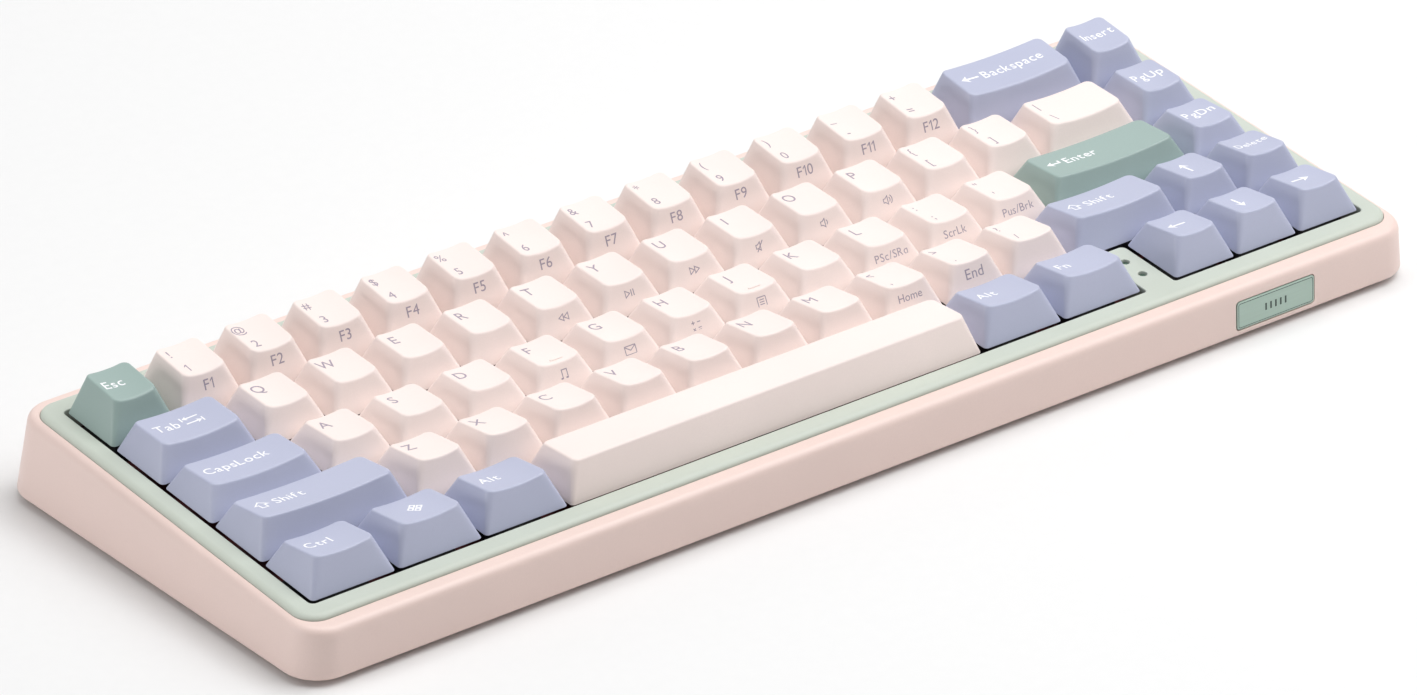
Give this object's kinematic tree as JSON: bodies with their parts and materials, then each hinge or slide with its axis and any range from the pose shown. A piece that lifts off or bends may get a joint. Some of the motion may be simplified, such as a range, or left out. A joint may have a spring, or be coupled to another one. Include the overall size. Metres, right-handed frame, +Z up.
{
  "type": "mechanical keyboard",
  "caption": "Compact mechanical keyboard with a wedge-shaped two-tone case, sculpted keycaps that press, flip-out rear feet, a USB-C port and a power switch.",
  "frame": {"origin": "middle of the footprint, on the plane the rubber pads rest on", "axes": "+X to the typist's right along the keyboard, +Y away from the typist, +Z up"},
  "size_m": [0.3238, 0.1184, 0.032],
  "materials": {
    "case_blush": "fine satin moulding",
    "bezel_mint": "fine satin moulding",
    "ivory_caps": "fine-textured PBT",
    "lilac_caps": "fine-textured PBT",
    "sage_caps": "fine-textured PBT",
    "plate_coat": "black powder coat",
    "board_black": "solder mask and black switch housings",
    "foam_grey": "closed-cell foam",
    "battery_wrap": "foil pouch",
    "port_steel": "plated shell",
    "badge_sage": "satin plate with an engraved line",
    "slider_black": "satin",
    "pad_rubber": "matt"
  },
  "bodies": {
    "case": {"case_tray": "case_blush", "bezel_frame": "bezel_mint", "switch_plate": "plate_coat", "circuit_board": "board_black", "case_foam": "foam_grey", "battery_pack": "battery_wrap", "usb_c_port": "port_steel", "badge_plate": "badge_sage", "rubber_pad_front_left": "pad_rubber", "rubber_pad_back_left": "pad_rubber", "rubber_pad_front_right": "pad_rubber", "rubber_pad_back_right": "pad_rubber"},
    "flip_foot_left": {"flip_foot_left": "bezel_mint"},
    "flip_foot_right": {"flip_foot_right": "bezel_mint"},
    "power_switch": {"power_switch": "slider_black"},
    "number_row_keys": {"number_row_keys": "ivory_caps"},
    "top_letter_row_keys": {"top_letter_row_keys": "ivory_caps"},
    "key_space": {"key_space": "ivory_caps"},
    "key_enter": {"key_enter": "sage_caps"},
    "key_left_shift": {"key_left_shift": "lilac_caps"},
    "key_backspace": {"key_backspace": "lilac_caps"},
    "key_esc": {"key_esc": "sage_caps"},
    "key_fn": {"key_fn": "lilac_caps"},
    "key_left": {"key_left": "lilac_caps"},
    "key_up": {"key_up": "lilac_caps"},
    "key_delete": {"key_delete": "lilac_caps"},
    "key_tab": {"key_tab": "lilac_caps"},
    "key_caps_lock": {"key_caps_lock": "lilac_caps"},
    "key_right_shift": {"key_right_shift": "lilac_caps"},
    "key_g": {"key_g": "ivory_caps"},
    "key_insert": {"key_insert": "lilac_caps"},
    "key_backslash": {"key_backslash": "ivory_caps"},
    "key_page_up": {"key_page_up": "lilac_caps"},
    "key_a": {"key_a": "ivory_caps"},
    "key_s": {"key_s": "ivory_caps"},
    "key_d": {"key_d": "ivory_caps"},
    "key_f": {"key_f": "ivory_caps"},
    "key_h": {"key_h": "ivory_caps"},
    "key_j": {"key_j": "ivory_caps"},
    "key_k": {"key_k": "ivory_caps"},
    "key_l": {"key_l": "ivory_caps"},
    "key_semicolon": {"key_semicolon": "ivory_caps"},
    "key_quote": {"key_quote": "ivory_caps"},
    "key_page_down": {"key_page_down": "lilac_caps"},
    "key_z": {"key_z": "ivory_caps"},
    "key_x": {"key_x": "ivory_caps"},
    "key_c": {"key_c": "ivory_caps"},
    "key_v": {"key_v": "ivory_caps"},
    "key_b": {"key_b": "ivory_caps"},
    "key_n": {"key_n": "ivory_caps"},
    "key_m": {"key_m": "ivory_caps"},
    "key_comma": {"key_comma": "ivory_caps"},
    "key_period": {"key_period": "ivory_caps"},
    "key_slash": {"key_slash": "ivory_caps"},
    "key_left_ctrl": {"key_left_ctrl": "lilac_caps"},
    "key_menu": {"key_menu": "lilac_caps"},
    "key_left_alt": {"key_left_alt": "lilac_caps"},
    "key_right_alt": {"key_right_alt": "lilac_caps"},
    "key_down": {"key_down": "lilac_caps"},
    "key_right": {"key_right": "lilac_caps"}
  },
  "joints": [
    {"name": "flip_foot_left_hinge", "type": "hinge", "parent": "case", "child": "flip_foot_left", "pos_m": [-0.116, 0.037, 0.0034], "axis": [1, 0, 0], "range_deg": [0, 100]},
    {"name": "flip_foot_right_hinge", "type": "hinge", "parent": "case", "child": "flip_foot_right", "pos_m": [0.116, 0.037, 0.0034], "axis": [1, 0, 0], "range_deg": [0, 100]},
    {"name": "power_switch_slide", "type": "slide", "parent": "case", "child": "power_switch", "axis": [1, 0, 0], "range_m": [0, 0.003]},
    {"name": "key_space_press", "type": "slide", "parent": "case", "child": "key_space", "axis": [0, 0.0698, -0.9976], "range_m": [0, 0.004], "stiffness_N_per_m": 62, "springref_m": -0.0055},
    {"name": "number_row_keys_press", "type": "slide", "parent": "case", "child": "number_row_keys", "axis": [0, 0.0698, -0.9976], "range_m": [0, 0.004], "stiffness_N_per_m": 744, "springref_m": -0.0055},
    {"name": "top_letter_row_keys_press", "type": "slide", "parent": "case", "child": "top_letter_row_keys", "axis": [0, 0.0698, -0.9976], "range_m": [0, 0.004], "stiffness_N_per_m": 744, "springref_m": -0.0055},
    {"name": "key_enter_press", "type": "slide", "parent": "case", "child": "key_enter", "axis": [0, 0.0698, -0.9976], "range_m": [0, 0.004], "stiffness_N_per_m": 62, "springref_m": -0.0055},
    {"name": "key_left_shift_press", "type": "slide", "parent": "case", "child": "key_left_shift", "axis": [0, 0.0698, -0.9976], "range_m": [0, 0.004], "stiffness_N_per_m": 62, "springref_m": -0.0055},
    {"name": "key_backspace_press", "type": "slide", "parent": "case", "child": "key_backspace", "axis": [0, 0.0698, -0.9976], "range_m": [0, 0.004], "stiffness_N_per_m": 62, "springref_m": -0.0055},
    {"name": "key_esc_press", "type": "slide", "parent": "case", "child": "key_esc", "axis": [0, 0.0698, -0.9976], "range_m": [0, 0.004], "stiffness_N_per_m": 62, "springref_m": -0.0055},
    {"name": "key_fn_press", "type": "slide", "parent": "case", "child": "key_fn", "axis": [0, 0.0698, -0.9976], "range_m": [0, 0.004], "stiffness_N_per_m": 62, "springref_m": -0.0055},
    {"name": "key_left_press", "type": "slide", "parent": "case", "child": "key_left", "axis": [0, 0.0698, -0.9976], "range_m": [0, 0.004], "stiffness_N_per_m": 62, "springref_m": -0.0055},
    {"name": "key_up_press", "type": "slide", "parent": "case", "child": "key_up", "axis": [0, 0.0698, -0.9976], "range_m": [0, 0.004], "stiffness_N_per_m": 62, "springref_m": -0.0055},
    {"name": "key_delete_press", "type": "slide", "parent": "case", "child": "key_delete", "axis": [0, 0.0698, -0.9976], "range_m": [0, 0.004], "stiffness_N_per_m": 62, "springref_m": -0.0055},
    {"name": "key_tab_press", "type": "slide", "parent": "case", "child": "key_tab", "axis": [0, 0.0698, -0.9976], "range_m": [0, 0.004], "stiffness_N_per_m": 62, "springref_m": -0.0055},
    {"name": "key_caps_lock_press", "type": "slide", "parent": "case", "child": "key_caps_lock", "axis": [0, 0.0698, -0.9976], "range_m": [0, 0.004], "stiffness_N_per_m": 62, "springref_m": -0.0055},
    {"name": "key_right_shift_press", "type": "slide", "parent": "case", "child": "key_right_shift", "axis": [0, 0.0698, -0.9976], "range_m": [0, 0.004], "stiffness_N_per_m": 62, "springref_m": -0.0055},
    {"name": "key_g_press", "type": "slide", "parent": "case", "child": "key_g", "axis": [0, 0.0698, -0.9976], "range_m": [0, 0.004], "stiffness_N_per_m": 62, "springref_m": -0.0055},
    {"name": "key_insert_press", "type": "slide", "parent": "case", "child": "key_insert", "axis": [0, 0.0698, -0.9976], "range_m": [0, 0.004], "stiffness_N_per_m": 62, "springref_m": -0.0055},
    {"name": "key_backslash_press", "type": "slide", "parent": "case", "child": "key_backslash", "axis": [0, 0.0698, -0.9976], "range_m": [0, 0.004], "stiffness_N_per_m": 62, "springref_m": -0.0055},
    {"name": "key_page_up_press", "type": "slide", "parent": "case", "child": "key_page_up", "axis": [0, 0.0698, -0.9976], "range_m": [0, 0.004], "stiffness_N_per_m": 62, "springref_m": -0.0055},
    {"name": "key_a_press", "type": "slide", "parent": "case", "child": "key_a", "axis": [0, 0.0698, -0.9976], "range_m": [0, 0.004], "stiffness_N_per_m": 62, "springref_m": -0.0055},
    {"name": "key_s_press", "type": "slide", "parent": "case", "child": "key_s", "axis": [0, 0.0698, -0.9976], "range_m": [0, 0.004], "stiffness_N_per_m": 62, "springref_m": -0.0055},
    {"name": "key_d_press", "type": "slide", "parent": "case", "child": "key_d", "axis": [0, 0.0698, -0.9976], "range_m": [0, 0.004], "stiffness_N_per_m": 62, "springref_m": -0.0055},
    {"name": "key_f_press", "type": "slide", "parent": "case", "child": "key_f", "axis": [0, 0.0698, -0.9976], "range_m": [0, 0.004], "stiffness_N_per_m": 62, "springref_m": -0.0055},
    {"name": "key_h_press", "type": "slide", "parent": "case", "child": "key_h", "axis": [0, 0.0698, -0.9976], "range_m": [0, 0.004], "stiffness_N_per_m": 62, "springref_m": -0.0055},
    {"name": "key_j_press", "type": "slide", "parent": "case", "child": "key_j", "axis": [0, 0.0698, -0.9976], "range_m": [0, 0.004], "stiffness_N_per_m": 62, "springref_m": -0.0055},
    {"name": "key_k_press", "type": "slide", "parent": "case", "child": "key_k", "axis": [0, 0.0698, -0.9976], "range_m": [0, 0.004], "stiffness_N_per_m": 62, "springref_m": -0.0055},
    {"name": "key_l_press", "type": "slide", "parent": "case", "child": "key_l", "axis": [0, 0.0698, -0.9976], "range_m": [0, 0.004], "stiffness_N_per_m": 62, "springref_m": -0.0055},
    {"name": "key_semicolon_press", "type": "slide", "parent": "case", "child": "key_semicolon", "axis": [0, 0.0698, -0.9976], "range_m": [0, 0.004], "stiffness_N_per_m": 62, "springref_m": -0.0055},
    {"name": "key_quote_press", "type": "slide", "parent": "case", "child": "key_quote", "axis": [0, 0.0698, -0.9976], "range_m": [0, 0.004], "stiffness_N_per_m": 62, "springref_m": -0.0055},
    {"name": "key_page_down_press", "type": "slide", "parent": "case", "child": "key_page_down", "axis": [0, 0.0698, -0.9976], "range_m": [0, 0.004], "stiffness_N_per_m": 62, "springref_m": -0.0055},
    {"name": "key_z_press", "type": "slide", "parent": "case", "child": "key_z", "axis": [0, 0.0698, -0.9976], "range_m": [0, 0.004], "stiffness_N_per_m": 62, "springref_m": -0.0055},
    {"name": "key_x_press", "type": "slide", "parent": "case", "child": "key_x", "axis": [0, 0.0698, -0.9976], "range_m": [0, 0.004], "stiffness_N_per_m": 62, "springref_m": -0.0055},
    {"name": "key_c_press", "type": "slide", "parent": "case", "child": "key_c", "axis": [0, 0.0698, -0.9976], "range_m": [0, 0.004], "stiffness_N_per_m": 62, "springref_m": -0.0055},
    {"name": "key_v_press", "type": "slide", "parent": "case", "child": "key_v", "axis": [0, 0.0698, -0.9976], "range_m": [0, 0.004], "stiffness_N_per_m": 62, "springref_m": -0.0055},
    {"name": "key_b_press", "type": "slide", "parent": "case", "child": "key_b", "axis": [0, 0.0698, -0.9976], "range_m": [0, 0.004], "stiffness_N_per_m": 62, "springref_m": -0.0055},
    {"name": "key_n_press", "type": "slide", "parent": "case", "child": "key_n", "axis": [0, 0.0698, -0.9976], "range_m": [0, 0.004], "stiffness_N_per_m": 62, "springref_m": -0.0055},
    {"name": "key_m_press", "type": "slide", "parent": "case", "child": "key_m", "axis": [0, 0.0698, -0.9976], "range_m": [0, 0.004], "stiffness_N_per_m": 62, "springref_m": -0.0055},
    {"name": "key_comma_press", "type": "slide", "parent": "case", "child": "key_comma", "axis": [0, 0.0698, -0.9976], "range_m": [0, 0.004], "stiffness_N_per_m": 62, "springref_m": -0.0055},
    {"name": "key_period_press", "type": "slide", "parent": "case", "child": "key_period", "axis": [0, 0.0698, -0.9976], "range_m": [0, 0.004], "stiffness_N_per_m": 62, "springref_m": -0.0055},
    {"name": "key_slash_press", "type": "slide", "parent": "case", "child": "key_slash", "axis": [0, 0.0698, -0.9976], "range_m": [0, 0.004], "stiffness_N_per_m": 62, "springref_m": -0.0055},
    {"name": "key_left_ctrl_press", "type": "slide", "parent": "case", "child": "key_left_ctrl", "axis": [0, 0.0698, -0.9976], "range_m": [0, 0.004], "stiffness_N_per_m": 62, "springref_m": -0.0055},
    {"name": "key_menu_press", "type": "slide", "parent": "case", "child": "key_menu", "axis": [0, 0.0698, -0.9976], "range_m": [0, 0.004], "stiffness_N_per_m": 62, "springref_m": -0.0055},
    {"name": "key_left_alt_press", "type": "slide", "parent": "case", "child": "key_left_alt", "axis": [0, 0.0698, -0.9976], "range_m": [0, 0.004], "stiffness_N_per_m": 62, "springref_m": -0.0055},
    {"name": "key_right_alt_press", "type": "slide", "parent": "case", "child": "key_right_alt", "axis": [0, 0.0698, -0.9976], "range_m": [0, 0.004], "stiffness_N_per_m": 62, "springref_m": -0.0055},
    {"name": "key_down_press", "type": "slide", "parent": "case", "child": "key_down", "axis": [0, 0.0698, -0.9976], "range_m": [0, 0.004], "stiffness_N_per_m": 62, "springref_m": -0.0055},
    {"name": "key_right_press", "type": "slide", "parent": "case", "child": "key_right", "axis": [0, 0.0698, -0.9976], "range_m": [0, 0.004], "stiffness_N_per_m": 62, "springref_m": -0.0055}
  ]
}
